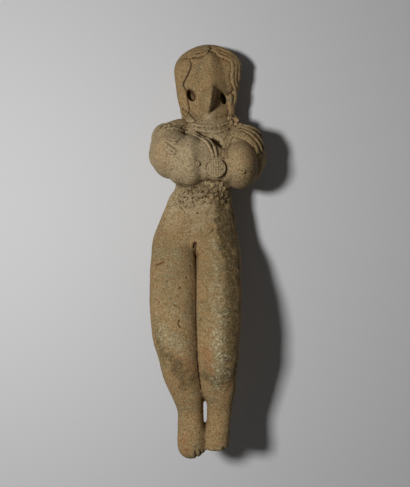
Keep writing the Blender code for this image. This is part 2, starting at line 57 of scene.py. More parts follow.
# Body
# rows of along, left edge, right edge, back, height of the widest line, front
body = {
    "cell": 0.30 * millimetre,
    "smoothing": 11,
    "trunk": [
        (1000, -66, 84, 14, 50, 86), (945, -77, 93, 0, 52, 95), (921, -76, 91, -4, 54, 96),
        (890, -72, 86, -4, 54, 97), (860, -68, 80, 0, 55, 97), (822, -59, 72, 10, 58, 96),
        (792, -62, 76, 20, 80, 118), (763, -84, 94, 18, 92, 142), (720, -86, 98, 12, 98, 158),
        (676, -80, 90, 18, 100, 160), (641, -72, 69, 29, 100, 156), (630, -74, 65, 31, 100, 155),
        (618, -84, 65, 30, 99, 153), (593, -95, 69, 24, 97, 151), (569, -106, 74, 15, 97, 152),
        (540, -117, 78, 8, 99, 157), (515, -126, 82, 2, 104, 164), (495, -129, 85, -3, 112, 166),
        (475, -130, 87, -4, 122, 156), (455, -126, 84, 8, 124, 142), (425, -112, 70, 50, 118, 130),
    ],
    "leftLeg": [
        (600, -78, -36, 40, 92, 128), (570, -90, -32, 30, 93, 138), (540, -106, -28, 20, 96, 150),
        (515, -120, -24, 20, 103, 160), (495, -126, -20, 24, 112, 172), (470, -130, -19, 34, 128, 188),
        (445, -131, -18, 60, 146, 202), (425, -131, -17, 92, 160, 216), (389, -130, -17, 120, 178, 235),
        (343, -128, -17, 143, 197, 252), (309, -124, -16, 155, 208, 262), (276, -120, -15, 165, 215, 267),
        (239, -108, -13, 172, 219, 267), (194, -98, -9, 168, 209, 252), (157, -84, -5, 162, 199, 237),
        (128, -72, -3, 158, 192, 227), (103, -64, -3, 156, 187, 220), (80, -64, -2, 158, 191, 225),
        (60, -64, 1, 160, 197, 233), (42, -64, 1, 164, 202, 238), (20, -62, 1, 166, 203, 239),
        (0, -56, -8, 168, 202, 238),
    ],
    "rightLeg": [
        (600, -8, 46, 40, 92, 128), (570, -10, 54, 30, 93, 138), (540, -14, 62, 20, 96, 150),
        (515, -19, 75, 20, 103, 160), (495, -22, 82, 24, 112, 172), (470, -22, 87, 34, 128, 188),
        (445, -24, 87, 60, 146, 202), (425, -25, 85, 92, 160, 216), (389, -25, 87, 120, 178, 235),
        (343, -25, 85, 143, 197, 252), (309, -24, 84, 155, 208, 262), (276, -23, 80, 165, 215, 267),
        (239, -21, 78, 172, 219, 267), (194, -16, 74, 168, 209, 252), (157, -11, 72, 162, 199, 237),
        (128, 3, 66, 158, 192, 227), (103, 4, 63, 156, 187, 220), (80, 3, 59, 158, 191, 225),
        (60, -3, 58, 160, 197, 233), (42, -3, 57, 164, 202, 238), (20, -2, 55, 166, 203, 239),
    ],
    "face": [
        (980, -22, 46, 20, 46, 98), (950, -44, 70, 20, 44, 110), (900, -60, 84, 20, 44, 118),
        (860, -55, 79, 20, 56, 119), (825, -50, 72, 20, 70, 114), (800, -40, 62, 20, 74, 111),
        (784, -32, 54, 20, 76, 108),
    ],
    "nose": [
        (925, 2, 20, 60, 72, 104), (900, -4, 25, 60, 76, 115), (880, -12, 28, 60, 80, 134),
        (865, -18, 28, 60, 84, 149), (850, -21, 26, 60, 88, 157), (838, -20, 22, 60, 90, 156),
        (825, -15, 14, 60, 92, 143), (811, -8, 6, 60, 94, 112),
    ],
    "noseLean": 12,
    # across, along, up, then half sizes: breasts, shoulders, upper arms, forearms, the pendant's
    # bed, the clay round it, the clay between a breast and its arm, buttocks
    "lumps": [
        (-36, 696, 142, 46, 63, 75), (85, 687, 140, 43, 58, 73), (-94, 753, 108, 38, 40, 50),
        (88, 749, 108, 39, 40, 50), (-86, 722, 122, 48, 66, 64), (96, 718, 116, 50, 70, 54),
        (-78, 712, 142, 52, 56, 68), (104, 700, 122, 40, 56, 50), (26, 675, 169, 29, 28, 36),
        (0, 682, 161, 26, 34, 42), (-3, 712, 156, 28, 36, 46), (26, 706, 152, 22, 26, 36),
        (52, 674, 160, 26, 30, 39), (-57, 691, 142, 40, 52, 69),
        (-72, 488, 60, 52, 66, 66), (30, 488, 60, 52, 66, 66),
    ],
    # rows of across, along, up and radius: forearms, then the slopes of the shoulders
    "limbs": [
        [(-100, 736, 122, 34), (-98, 704, 150, 32), (-88, 712, 178, 24), (-76, 722, 194, 16)],
        [(108, 734, 112, 34), (112, 702, 122, 32), (108, 704, 142, 26), (100, 712, 160, 18)],
        [(-60, 784, 92, 24), (-88, 764, 112, 30)],
        [(68, 782, 92, 24), (88, 758, 112, 30)],
    ],
    # joins that wet fingers stroked smooth: across, along, up and how far round
    "softJoins": [
        (-72, 716, 204, 46), (-78, 748, 168, 30), (-21, 535, 158, 44), (-85, 515, 150, 48),
        (45, 515, 150, 46), (20, 905, 112, 40),
        (-62, 672, 186, 40), (-60, 700, 206, 30), (-4, 686, 200, 30), (-6, 714, 202, 30),
        (26, 706, 184, 24), (54, 676, 192, 28),
    ],
    "strokes": 150,
    # how much each stroke evens, and how steeply that fades towards the rim of a join
    "strokeEase": 0.7,
    "strokeFade": 1.6,
}


def smoothRows(rows, wanted):
    # rows whose first column rises, read at the wanted values on a smooth curve
    rows = np.array(rows, float)
    rows = rows[np.argsort(rows[:, 0])]
    knots, values = rows[:, 0], rows[:, 1:]
    slopes = np.gradient(values, knots, axis=0)
    span = np.clip(np.searchsorted(knots, wanted) - 1, 0, len(knots) - 2)
    width = (knots[span + 1] - knots[span])[:, None]
    part = (wanted - knots[span])[:, None] / width
    return (
        values[span] * (2 * part**3 - 3 * part**2 + 1)
        + values[span + 1] * (3 * part**2 - 2 * part**3)
        + slopes[span] * width * (part**3 - 2 * part**2 + part)
        + slopes[span + 1] * width * (part**3 - part**2)
    )


def smoothPath(points, count):
    points = np.array(points, float)
    steps = np.linalg.norm(np.diff(points[:, :2], axis=0), axis=1)
    travel = np.concatenate([[0], np.cumsum(steps)])
    return smoothRows(np.column_stack([travel, points]), np.linspace(0, travel[-1], count))


def skinRings(clay, rings):
    loops = [[clay.verts.new(point) for point in ring] for ring in rings]
    for lower, upper in zip(loops, loops[1:]):
        for i in range(len(lower)):
            j = (i + 1) % len(lower)
            clay.faces.new((lower[i], lower[j], upper[j], upper[i]))
    clay.faces.new(list(reversed(loops[0])))
    clay.faces.new(loops[-1])


def loft(clay, rows, lowDome, highDome, power=2.2, rings=90, lean=0, sides=56):
    # a body from its rows, with round ends of the given lengths and its top leaning sideways
    low, high = min(rows)[0], max(rows)[0]
    along = low + (high - low) * (1 - np.cos(np.linspace(0, math.pi, rings))) / 2
    turn = np.linspace(0, 2 * math.pi, sides, endpoint=False)
    wide = np.sign(np.cos(turn)) * np.abs(np.cos(turn)) ** (2 / power)
    deep = np.sign(np.sin(turn)) * np.abs(np.sin(turn)) ** (2 / power)
    skin = []
    for place, (left, right, back, side, front) in zip(along, smoothRows(rows, along)):
        lowShare = min(1, (place - low) / lowDome)
        highShare = min(1, (high - place) / highDome)
        size = max(0.04, math.sqrt(1 - (1 - lowShare) ** 2) * math.sqrt(1 - (1 - highShare) ** 2))
        across = (left + right) / 2 + (wide * (right - left) / 2 + lean * np.clip(deep, 0, 1)) * size
        up = side + np.where(deep > 0, deep * (front - side), deep * (side - back)) * size
        skin.append(np.column_stack([across, np.full(sides, place), up])[::-1] * share)
    skinRings(clay, skin)


def sweep(clay, path, radii, lifts, flat=1.0, sides=14):
    # a coil along a path, flattened against the lift direction
    ahead = np.gradient(path, axis=0)
    ahead /= np.linalg.norm(ahead, axis=1)[:, None]
    sideways = np.cross(ahead, lifts)
    sideways /= np.linalg.norm(sideways, axis=1)[:, None]
    upward = np.cross(sideways, ahead)
    turn = np.linspace(0, 2 * math.pi, sides, endpoint=False)
    sections = [np.outer(np.cos(turn), side) + flat * np.outer(np.sin(turn), up)
                for side, up in zip(sideways, upward)]
    rings = [place + section * radius for place, section, radius in zip(path, sections, radii)]
    # round ends: how far beyond the path and how wide, in radii
    for reach, size in ((0.6, 0.8), (0.95, 0.3)):
        rings.insert(0, path[0] + (sections[0] * size - ahead[0] * reach) * radii[0])
        rings.append(path[-1] + (sections[-1] * size + ahead[-1] * reach) * radii[-1])
    skinRings(clay, rings)


def limb(clay, rows, count=24):
    course = smoothPath(rows, count) * share
    towardsFront = np.tile([0.3, 0.2, 1.0], (count, 1))
    sweep(clay, course[:, :3], course[:, 3], towardsFront, sides=20)


def ball(clay, centre, half, rings=18, sides=28):
    # its rings stop just short of the poles
    turn = np.linspace(0, 2 * math.pi, sides, endpoint=False)
    shell = []
    for rise in np.linspace(-0.47, 0.47, rings) * math.pi:
        ring = np.column_stack([np.cos(turn), np.sin(turn), np.full(sides, math.tan(rise))])
        shell.append(np.array(centre) + ring * math.cos(rise) * np.array(half))
    skinRings(clay, shell)


def meshOf(clay, name):
    bmesh.ops.recalc_face_normals(clay, faces=clay.faces)
    mesh = bpy.data.meshes.new(name)
    clay.to_mesh(mesh)
    clay.free()
    return mesh


def worked(mesh, modifiers):
    # the mesh as the listed modifiers leave it
    holder = bpy.data.objects.new("workingClay", mesh)
    bpy.context.scene.collection.objects.link(holder)
    for kind, settings in modifiers:
        modifier = holder.modifiers.new(kind.title(), kind)
        for setting, value in settings.items():
            setattr(modifier, setting, value)
    evaluated = holder.evaluated_get(bpy.context.evaluated_depsgraph_get())
    result = bpy.data.meshes.new_from_object(evaluated)
    bpy.data.objects.remove(holder)
    return result


def fused(mesh, cell, rounds):
    # overlapping lumps become one skin, with the joins smoothed as wet fingers do it
    return worked(mesh, [
        ("REMESH", {"mode": "VOXEL", "voxel_size": cell}),
        ("SMOOTH", {"factor": 0.5, "iterations": rounds}),
    ])


class Surface:
    # the clay's skin, for laying coils on it and for pressing and raising it

    def __init__(self, mesh):
        self.mesh = mesh
        self.points = np.empty((len(mesh.vertices), 3))
        self.outward = np.empty((len(mesh.vertices), 3))
        mesh.vertices.foreach_get("co", self.points.ravel())
        mesh.vertices.foreach_get("normal", self.outward.ravel())
        clay = bmesh.new()
        clay.from_mesh(mesh)
        self.tree = BVHTree.FromBMesh(clay)
        clay.free()

    def drop(self, across, along, fromBack=False):
        way = 1 if fromBack else -1
        start = Vector((across * share, along * share, -way * figureLength))
        place, outward, _, _ = self.tree.ray_cast(start, Vector((0, 0, way)))
        if place is None:
            # beside the body, the nearest skin is taken instead
            beside = Vector((across * share, along * share, 50 * share))
            place, outward, _, _ = self.tree.find_nearest(beside)
        return np.array(place), np.array(outward)

    def lay(self, points, count, fromBack=False):
        course = smoothPath(points, count)
        found = [self.drop(across, along, fromBack) for across, along in course[:, :2]]
        return np.array([place for place, _ in found]), np.array([outward for _, outward in found])

    def press(self, amounts):
        self.points -= self.outward * amounts[:, None]

    def distance(self, course, reach):
        # how far each point near the course is from it
        low, high = course.min(0) - reach, course.max(0) + reach
        near = np.all((self.points > low) & (self.points < high), axis=1)
        close = self.points[near]
        best = np.full(len(close), figureLength)
        for start, end in zip(course, course[1:]):
            run = end - start
            part = np.clip((close - start) @ run / max(run @ run, 1e-18), 0, 1)
            best = np.minimum(best, np.linalg.norm(close - start - part[:, None] * run, axis=1))
        gap = np.full(len(self.points), figureLength)
        gap[near] = best
        return gap

    def groove(self, course, width, depth, sharpness=1.5, fade=None):
        # runs out over the fade at its last point
        gap = self.distance(course, width)
        pressed = depth * np.clip(1 - (gap / width) ** 2, 0, 1) ** sharpness
        if fade:
            pressed *= np.clip((self.points[:, 1] - course[-1, 1]) / fade, 0, 1)
        self.press(pressed)

    def scratch(self, places, width, depth, count=24, fromBack=False, sharpness=1.5, fade=None):
        course, _ = self.lay(places, count, fromBack)
        self.groove(course, width, depth, sharpness, fade)

    def stroke(self, joins, rounds):
        # evens the skin out round each join
        ends = np.empty(2 * len(self.mesh.edges), int)
        self.mesh.edges.foreach_get("vertices", ends)
        pull = np.zeros(len(self.points))
        for across, along, up, reach in joins:
            gap = np.linalg.norm(self.points / share - (across, along, up), axis=1)
            pull = np.maximum(pull, np.clip(body["strokeFade"] - body["strokeFade"] * gap / reach, 0, 1))
        chosen = np.flatnonzero(pull)
        order = np.full(len(pull), -1)
        order[chosen] = np.arange(len(chosen))
        first, second = ends[::2], ends[1::2]
        inside = (order[first] >= 0) & (order[second] >= 0)
        first, second = order[first[inside]], order[second[inside]]
        count = np.maximum(np.bincount(np.concatenate([first, second]), minlength=len(chosen)), 1)
        pull = pull[chosen]
        for axis in range(3):
            place = self.points[chosen, axis]
            for _ in range(rounds):
                total = (np.bincount(first, place[second], len(place))
                         + np.bincount(second, place[first], len(place)))
                place += body["strokeEase"] * pull * (total / count - place)
            self.points[chosen, axis] = place

    def punch(self, across, along, halfWide, halfLong, slant, depth, wall):
        # a stick pushed straight into the front
        place, _ = self.drop(across, along)
        offset = (self.points - place) / share
        sideways = offset[:, 0] - slant * offset[:, 1]
        roundShare = np.hypot(sideways / halfWide, offset[:, 1] / halfLong)
        edge = wall / (min(halfWide, halfLong) * share)
        inside = np.clip((1 - roundShare) / edge, 0, 1)
        near = (np.abs(offset[:, 2]) * share < depth * 1.5) & (self.outward[:, 2] > 0)
        self.points[:, 2] -= depth * inside * near

    def write(self):
        self.mesh.vertices.foreach_set("co", self.points.ravel())
        self.mesh.update()
        return self.mesh


def bodyClay():
    clay = bmesh.new()
    loft(clay, body["trunk"], lowDome=25, highDome=62, power=2.3)
    loft(clay, body["leftLeg"], lowDome=24, highDome=60, power=2.5)
    loft(clay, body["rightLeg"], lowDome=9, highDome=60, power=2.5)
    loft(clay, body["face"], lowDome=16, highDome=20, power=1.3, rings=50)
    loft(clay, body["nose"], lowDome=10, highDome=40, power=1.3, rings=50, lean=body["noseLean"])
    for lump in body["lumps"]:
        ball(clay, np.array(lump[:3]) * share, np.array(lump[3:]) * share, rings=30, sides=44)
    for rows in body["limbs"]:
        limb(clay, rows)
    return meshOf(clay, "bodyClay")


# Hair
hair = {
    "coil": 0.88 * millimetre,
    "sideLock": 1.65 * millimetre,
    "lockStep": 0.6 * millimetre,
    # the step runs out over this much of its length at each end, and where the skin turns away
    "lockFade": 24,
    "lockFacing": 1.6,
    "lockEdge": [(-39, 956), (-33, 940), (-37, 925), (-47, 905), (-53, 891), (-46, 878), (-43, 862),
                 (-41, 849), (-39, 826), (-46, 812)],
    "left": [
        [(14, 981), (10, 974), (2, 966), (-12, 962), (-30, 961), (-42, 957)],
        [(11, 983), (0, 974), (-17, 970), (-34, 967), (-49, 960)],
        [(7, 985), (-7, 979), (-25, 974), (-42, 968), (-57, 957)],
    ],
    "neck": [
        [(-58, 834), (-51, 812), (-40, 795)],
        [(-52, 828), (-43, 810), (-31, 793)],
        [(-45, 822), (-36, 807), (-26, 795)],
    ],
    "right": [
        [(16, 979), (25, 972), (37, 962), (52, 956), (64, 950), (68, 935), (66, 913), (69, 893), (76, 878)],
        [(20, 982), (34, 973), (49, 966), (64, 958), (74, 947), (75, 925), (74, 903), (79, 886)],
        [(22, 984), (39, 979), (57, 971), (71, 960), (81, 945), (82, 923), (81, 901)],
        [(27, 985), (47, 981), (64, 971), (79, 957), (88, 939)],
    ],
    "locks": [
        [(61, 868), (61, 839), (62, 820), (60, 800)],
        [(71, 880), (71, 856), (66, 839), (66, 822), (73, 805), (80, 792)],
    ],
    "curls": [(65, 791), (76, 787), (85, 781)],
    # a curl's width in pellets
    "curlWidth": 1.6,
    # combed lines on the back: where each is across, their places along, and how they draw in
    "back": [-52, -30, -8, 14, 36, 58, 78],
    "backAlong": (960, 890, 830),
    "backDrawnIn": 0.9,
}

# Jewellery
jewellery = {
    "strap": 0.85 * millimetre,
    "pellet": 0.85 * millimetre,
    "girdlePellet": 1.1 * millimetre,
    "pelletPit": 0.17 * millimetre,
    "pelletPitHalf": 2.2,
    "chokerPellets": [(-30, 789), (-12, 784), (12, 781), (35, 784), (54, 793)],
    "chokerCoil": [(-26, 778), (-2, 770), (17, 767), (37, 769), (58, 780)],
    "straps": [
        [(-37, 761), (-18, 750), (1, 737), (12, 720), (19, 698)],
        [(-32, 766), (-12, 755), (8, 742), (20, 725), (27, 700)],
        [(65, 757), (57, 740), (52, 721), (50, 698)],
        [(59, 759), (51, 744), (45, 726), (41, 702)],
    ],
    "throatHollows": [([(-13, 771), (10, 757), (26, 745), (36, 734)], 1.05), ([(18, 752), (29, 743)], 1.35)],
    "throatDepth": 1.6 * millimetre,
    "pendant": (26, 673, 23, 22),
    "pendantThickness": 1.3 * millimetre,
    "pendantEdge": 0.1 * millimetre,
    # lines on each side of the pendant's middle and one more, and how near its rim they run
    "pendantSteps": 4,
    "pendantReach": 0.8,
    # rows of along, left, right and how many pellets
    "girdle": [(641, 4, 44, 5), (628, -64, 48, 12), (615, -74, 58, 13), (602, -82, 58, 13),
               (591, -86, -20, 6)],
    # how far the pellets stray across, along and in size, and how quickly
    "strayAcross": (2, 5.1),
    "strayAlong": (3, 2.4),
    "straySize": (0.25, 3.7),
}

# How a coil ends and is twisted: points of taper, how thin its end is, widths between two beads
coilForm = {"taperPoints": 5, "thinEnd": 0.4, "beadStep": 1.2}

# Shoulders, hands and what is pressed or cut into the clay
workedClay = {
    "shoulders": [
        [(-113, 771), (-101, 782), (-84, 788), (-65, 785), (-48, 777)],
        [(-108, 766), (-94, 777), (-77, 780), (-60, 777), (-43, 767)],
        [(-101, 764), (-86, 771), (-70, 772), (-53, 768)],
        [(67, 758), (84, 750), (101, 742), (114, 730)],
        [(70, 762), (89, 754), (107, 743), (119, 728), (122, 708)],
        [(74, 766), (94, 758), (110, 744), (122, 728), (127, 711)],
        [(74, 772), (96, 766), (115, 753), (130, 734), (136, 716)],
        [(77, 778), (98, 774), (120, 762), (134, 744), (142, 725)],
        [(79, 783), (103, 780), (125, 771), (139, 754)],
    ],
    "fingers": [
        [(-89, 737), (-77, 732), (-67, 734)],
        [(-84, 743), (-72, 738), (-61, 743)],
        [(-94, 730), (-80, 719), (-67, 711)],
        [(-97, 724), (-84, 713), (-72, 705)],
    ],
    "shoulderCoil": 0.62 * millimetre,
    "finger": 0.75 * millimetre,
    "legGroove": [(-25, 497), (-22, 470), (-20, 440), (-19, 410)],
    "legGrooveWidth": 0.75 * millimetre,
    "legGrooveDepth": 0.6 * millimetre,
    "legGrooveFade": 10 * millimetre,
    "legLine": [(-23, 490), (-21, 440), (-21, 389), (-21, 343), (-20, 309), (-19, 276), (-17, 239),
                (-13, 194), (-9, 165)],
    "legLineDepth": 0.3 * millimetre,
    "groin": [(-72, 598), (-48, 574), (-36, 557), (-28, 538)],
    "cleft": [(-21, 545), (-21, 500), (-21, 455)],
    # across, along and radius, and the width of the disc round it in radii
    "nipples": [(-17, 683, 5.5), (87, 666, 6.2)],
    "nippleDisc": 2.1,
    # across, along, half width, half length and slant
    "eyes": [(-34, 866, 11, 16, -0.25), (45, 857, 8, 15, -0.22)],
    "eyeDepth": 3.2 * millimetre,
    "nippleDepth": 0.35 * millimetre,
    "holeWall": 0.25 * millimetre,
    "line": 0.28 * millimetre,
    "lineDepth": 0.14 * millimetre,
    "groinDepth": 0.08 * millimetre,
    "lockLine": 0.24 * millimetre,
    "lockLineDepth": 0.26 * millimetre,
}

fineSkin = {"cell": 0.23 * millimetre, "triangles": 190000, "restFlat": 0.5 * millimetre}


def pressBody(skin):
    for places, width in jewellery["throatHollows"]:
        skin.scratch(places, width * millimetre, jewellery["throatDepth"])
    skin.scratch(workedClay["legGroove"], workedClay["legGrooveWidth"], workedClay["legGrooveDepth"],
                 fade=workedClay["legGrooveFade"])
    edge = np.array(hair["lockEdge"]) * share
    beyond = np.interp(skin.points[:, 1], edge[::-1, 1], edge[::-1, 0]) - skin.points[:, 0]
    ends = np.minimum(skin.points[:, 1] - edge[-1, 1], edge[0, 1] - skin.points[:, 1])
    step = np.clip(beyond / workedClay["holeWall"], 0, 1) * np.clip(ends / (hair["lockFade"] * share), 0, 1)
    skin.press(-hair["lockStep"] * step * np.clip(skin.outward[:, 2] * hair["lockFacing"], 0, 1))


def coil(clay, skin, places, width, flat=0.9, lift=0.3, count=60, beads=0.0):
    # a coil laid on the skin; beads swell it at even steps, as a twisted one does
    course, outward = skin.lay(places, count)
    fromEnd = np.minimum(np.arange(count), count - 1 - np.arange(count))
    taper = np.clip(fromEnd / coilForm["taperPoints"] + coilForm["thinEnd"], 0, 1)
    travel = np.concatenate([[0], np.cumsum(np.linalg.norm(np.diff(course, axis=0), axis=1))])
    swell = 1 + beads * np.sin(2 * math.pi * travel / (coilForm["beadStep"] * width))
    sweep(clay, course + outward * width * lift, swell * taper * width / 2, outward, flat)


def pellet(clay, skin, across, along, width, flat=0.7, lift=0.28):
    place, outward = skin.drop(across, along)
    ball(clay, place + outward * width * lift, np.array([width, width, width * flat]) / 2)


def stray(name, i, row=0):
    amount, pace = jewellery[name]
    return amount * math.sin(pace * i + row)


def girdlePlaces():
    for row, (along, left, right, count) in enumerate(jewellery["girdle"]):
        for i in range(count):
            part = (i + 0.5 * (row % 2)) / count
            across = left + (right - left) * part + stray("strayAcross", i, row)
            yield across, along + stray("strayAlong", i, row)


def appliedClay(skin):
    clay = bmesh.new()
    for places in hair["left"] + hair["right"]:
        coil(clay, skin, places, hair["coil"], lift=0.42)
    for places in hair["neck"]:
        coil(clay, skin, places, hair["coil"], lift=0.27)
    for places in hair["locks"]:
        coil(clay, skin, places, hair["sideLock"], flat=0.7)
    for places in workedClay["shoulders"]:
        coil(clay, skin, places, workedClay["shoulderCoil"], beads=0.22, count=90)
    for places in workedClay["fingers"]:
        coil(clay, skin, places, workedClay["finger"], lift=0.15)
    for places in jewellery["straps"] + [jewellery["chokerCoil"]]:
        coil(clay, skin, places, jewellery["strap"], lift=0.2)
    for across, along in smoothPath(jewellery["chokerPellets"], 15)[:, :2]:
        pellet(clay, skin, across, along, jewellery["pellet"])
    for across, along in hair["curls"]:
        pellet(clay, skin, across, along, hair["curlWidth"] * jewellery["pellet"])
    for i, (across, along) in enumerate(girdlePlaces()):
        width = jewellery["girdlePellet"] * (1 + stray("straySize", i))
        pellet(clay, skin, across, along, width, flat=0.3, lift=0.22)
    for across, along, radius in workedClay["nipples"]:
        pellet(clay, skin, across, along, workedClay["nippleDisc"] * radius * share, flat=0.4, lift=0.12)
    across, along, halfWide, halfLong = jewellery["pendant"]
    place, _ = skin.drop(across, along)
    ball(clay, place, (halfWide * share, halfLong * share, jewellery["pendantThickness"] / 2))
    return meshOf(clay, "appliedClay")


def incise(skin):
    wall = workedClay["holeWall"]
    line, lineDepth = workedClay["line"], workedClay["lineDepth"]
    for across, along, halfWide, halfLong, slant in workedClay["eyes"]:
        skin.punch(across, along, halfWide, halfLong, slant, workedClay["eyeDepth"], wall)
    for across, along, radius in workedClay["nipples"]:
        skin.punch(across, along, radius / 2, radius / 2, 0, workedClay["nippleDepth"], wall)
    pitHalf = jewellery["pelletPitHalf"]
    for across, along in girdlePlaces():
        skin.punch(across, along, pitHalf, pitHalf, 0, jewellery["pelletPit"], wall / 2)
    skin.scratch(workedClay["groin"], line, workedClay["groinDepth"])
    skin.scratch(workedClay["legLine"], line, workedClay["legLineDepth"], count=90)
    skin.scratch(hair["lockEdge"], workedClay["lockLine"], workedClay["lockLineDepth"], count=50)
    for places in hair["locks"]:
        skin.scratch(places, line, lineDepth)
    across, along, halfWide, halfLong = jewellery["pendant"]
    steps = jewellery["pendantSteps"]
    for i in range(1 - steps, steps):
        reach = jewellery["pendantReach"] * halfLong * math.sqrt(1 - (i / steps) ** 2)
        place = across + i * halfWide / steps
        skin.scratch([(place, along - reach), (place, along + reach)], line, lineDepth, count=8)
    turn = np.linspace(0, 2 * math.pi, 25)
    rim = np.column_stack([across + halfWide * np.cos(turn), along + halfLong * np.sin(turn)])
    skin.scratch(rim, line, jewellery["pendantEdge"], count=60)
    top, middle, end = hair["backAlong"]
    for across in hair["back"]:
        combed = [(across, top), (across, middle), (hair["backDrawnIn"] * across, end)]
        skin.scratch(combed, 2 * line, lineDepth, fromBack=True)
    skin.scratch(workedClay["cleft"], 4 * line, 2 * lineDepth, fromBack=True)


def joined(first, second):
    clay = bmesh.new()
    clay.from_mesh(first)
    clay.from_mesh(second)
    return meshOf(clay, "clay")


def seatInFrame(mesh, lens):
    # presses the flats that it lies on, then gives the mesh the frame's own place and size;
    # the lens's place across and along moves with it
    skin = Surface(mesh)
    level = skin.points[:, 2].min() + fineSkin["restFlat"]
    skin.points[:, 2] = np.maximum(skin.points[:, 2] - level, 0)
    low, high = skin.points.min(0), skin.points.max(0)
    fit = (highCorner - lowCorner) / (high - low)
    skin.points = lowCorner + (skin.points - low) * fit
    skin.write()
    return lowCorner[:2] + (np.array(lens) - low[:2]) * fit[:2]


# Wear: what handling, burial and the first rough hand left on the clay
wear = {
    "seed": 7,
    # each unevenness: its size, and a shift that keeps it from matching the others; the grit is
    # finer on the real clay and is drawn as coarse as it needs to show
    "waves": (5.0 * millimetre, 3.1),
    "waveHeight": 0.13 * millimetre,
    "grit": (0.9 * millimetre, 9.7),
    "gritHeight": 0.045 * millimetre,
    "crumble": (0.8 * millimetre, 14.2),
    "crumbleHeight": 0.15 * millimetre,
    "patches": (1.6 * millimetre, 5.5),
    "broadPatches": (4.0 * millimetre, 8.2),
    # the waist band and the choker crumbled most: middle along, and how far to each side
    "crumbledBands": [(613, 16), (780, 8)],
    # how many pits, their radii and depth as a share of the radius
    "pits": 900,
    "pitRadius": (0.14 * millimetre, 0.42 * millimetre),
    "pitDepth": 0.6,
    # along the right leg: the course of the lime crust, its half width and thickness
    "crustCourse": [(21, 507), (26, 456), (27, 404), (32, 348), (36, 293), (31, 248), (27, 209), (32, 172)],
    "crustWidth": 1.9 * millimetre,
    "crustThickness": 0.12 * millimetre,
    "crustReach": 1.3,
    "crustRaggedness": 0.8,
}

# Cracks and gashes: course, half width and depth in millimetres
cracks = [
    ([(-57, 326), (-59, 318), (-56, 311)], 0.28, 0.5),
    ([(-70, 360), (-66, 357), (-62, 358)], 0.22, 0.3),
    ([(-114, 449), (-104, 453), (-97, 456)], 0.4, 0.3),
    ([(-22, 499), (-26, 490)], 0.5, 0.45),
    ([(20, 531), (13, 524)], 0.25, 0.2),
    ([(13, 994), (15, 984), (10, 973)], 0.3, 0.35),
    ([(-22, 24), (-18, 4)], 0.4, 0.45),
    ([(-10, 26), (-5, 8)], 0.4, 0.45),
    ([(44, 30), (52, 22)], 0.7, 0.5),
]

# Places of stain, with painted shade among the last list: course, half width in millimetres and strength;
# above 1 the ochre turns to rust
ochrePlaces = [
    ([(2, 258), (10, 230), (15, 198)], 2.1, 1.15),
    ([(40, 178), (52, 168)], 1.4, 1.0),
    ([(-52, 50), (-44, 26)], 1.7, 1.2),
    ([(-98, 454), (-112, 449)], 0.8, 1.6),
    ([(-108, 740), (-116, 712), (-100, 690)], 3.2, 0.5),
    ([(-56, 244), (-28, 215)], 2.6, 0.9),
]
crustPlaces = [
    (wear["crustCourse"], wear["crustWidth"] / millimetre, 0.55),
    ([(24, 300), (32, 250), (30, 200)], 2.3, 0.8),
    ([(-98, 305), (-74, 278), (-54, 262)], 2.8, 0.5),
    ([(-92, 470), (-84, 390), (-76, 310)], 5.0, 0.22),
]
stainAndShadePlaces = [
    ([(42, 614), (39, 565), (42, 520), (50, 474)], 2.0, 1.7),
    # painted shade on the outer side of the right arm, which is turned from the light
    ([(128, 765), (137, 715), (122, 668)], 2.2, 0.5),
    # olive-brown stain down the right leg's right side, partly painted shade where that side turns from the
    # light
    ([(64, 590), (62, 500), (62, 420), (61, 340), (57, 260), (50, 200)], 2.7, 0.95),
    ([(0, 202), (30, 184), (62, 190)], 1.8, 0.8),
    ([(-92, 255), (-66, 225), (-40, 192)], 2.5, 0.7),
    ([(-108, 300), (-98, 240)], 1.4, 0.6),
    ([(-60, 640), (0, 622), (60, 620)], 2.4, 0.6),
]


# Each kind of stain, the last with painted shade in it: its places and how ragged its edge is
stains = {"crust": (crustPlaces, 1.2), "ochre": (ochrePlaces, 0.5), "stainAndShade": (stainAndShadePlaces, 1.0)}
stainReach = 1.2
stainBroadness = 0.5

# The torso is bleached, less so towards its right, where painted shade darkens it: where the bleaching
# starts and ends along the figure, over what length each end fades, how uneven it is, and how the painted
# shade falls off across
bleachAndRightShade = {
    "from": 520,
    "fromFade": 90,
    "to": 835,
    "toFade": 60,
    "broadness": 0.9,
    "patchiness": 0.4,
    "shadeRightEdge": 110,
    "shadeRightLoss": 0.9,
}

# Hollows darkened in the colour, with soil and painted shade in the broad ones and painted shade in the fine
# creases: rounds of smoothing that find them, and the depth that counts as full
hollows = {"creaseShade": (6, 0.05), "hollowSoilAndShade": (60, 0.22)}


def wavyNoise(points, size, shift):
    values = [noise.noise(Vector(point) / size + Vector((shift, 0, 0))) for point in points]
    return np.array(values)


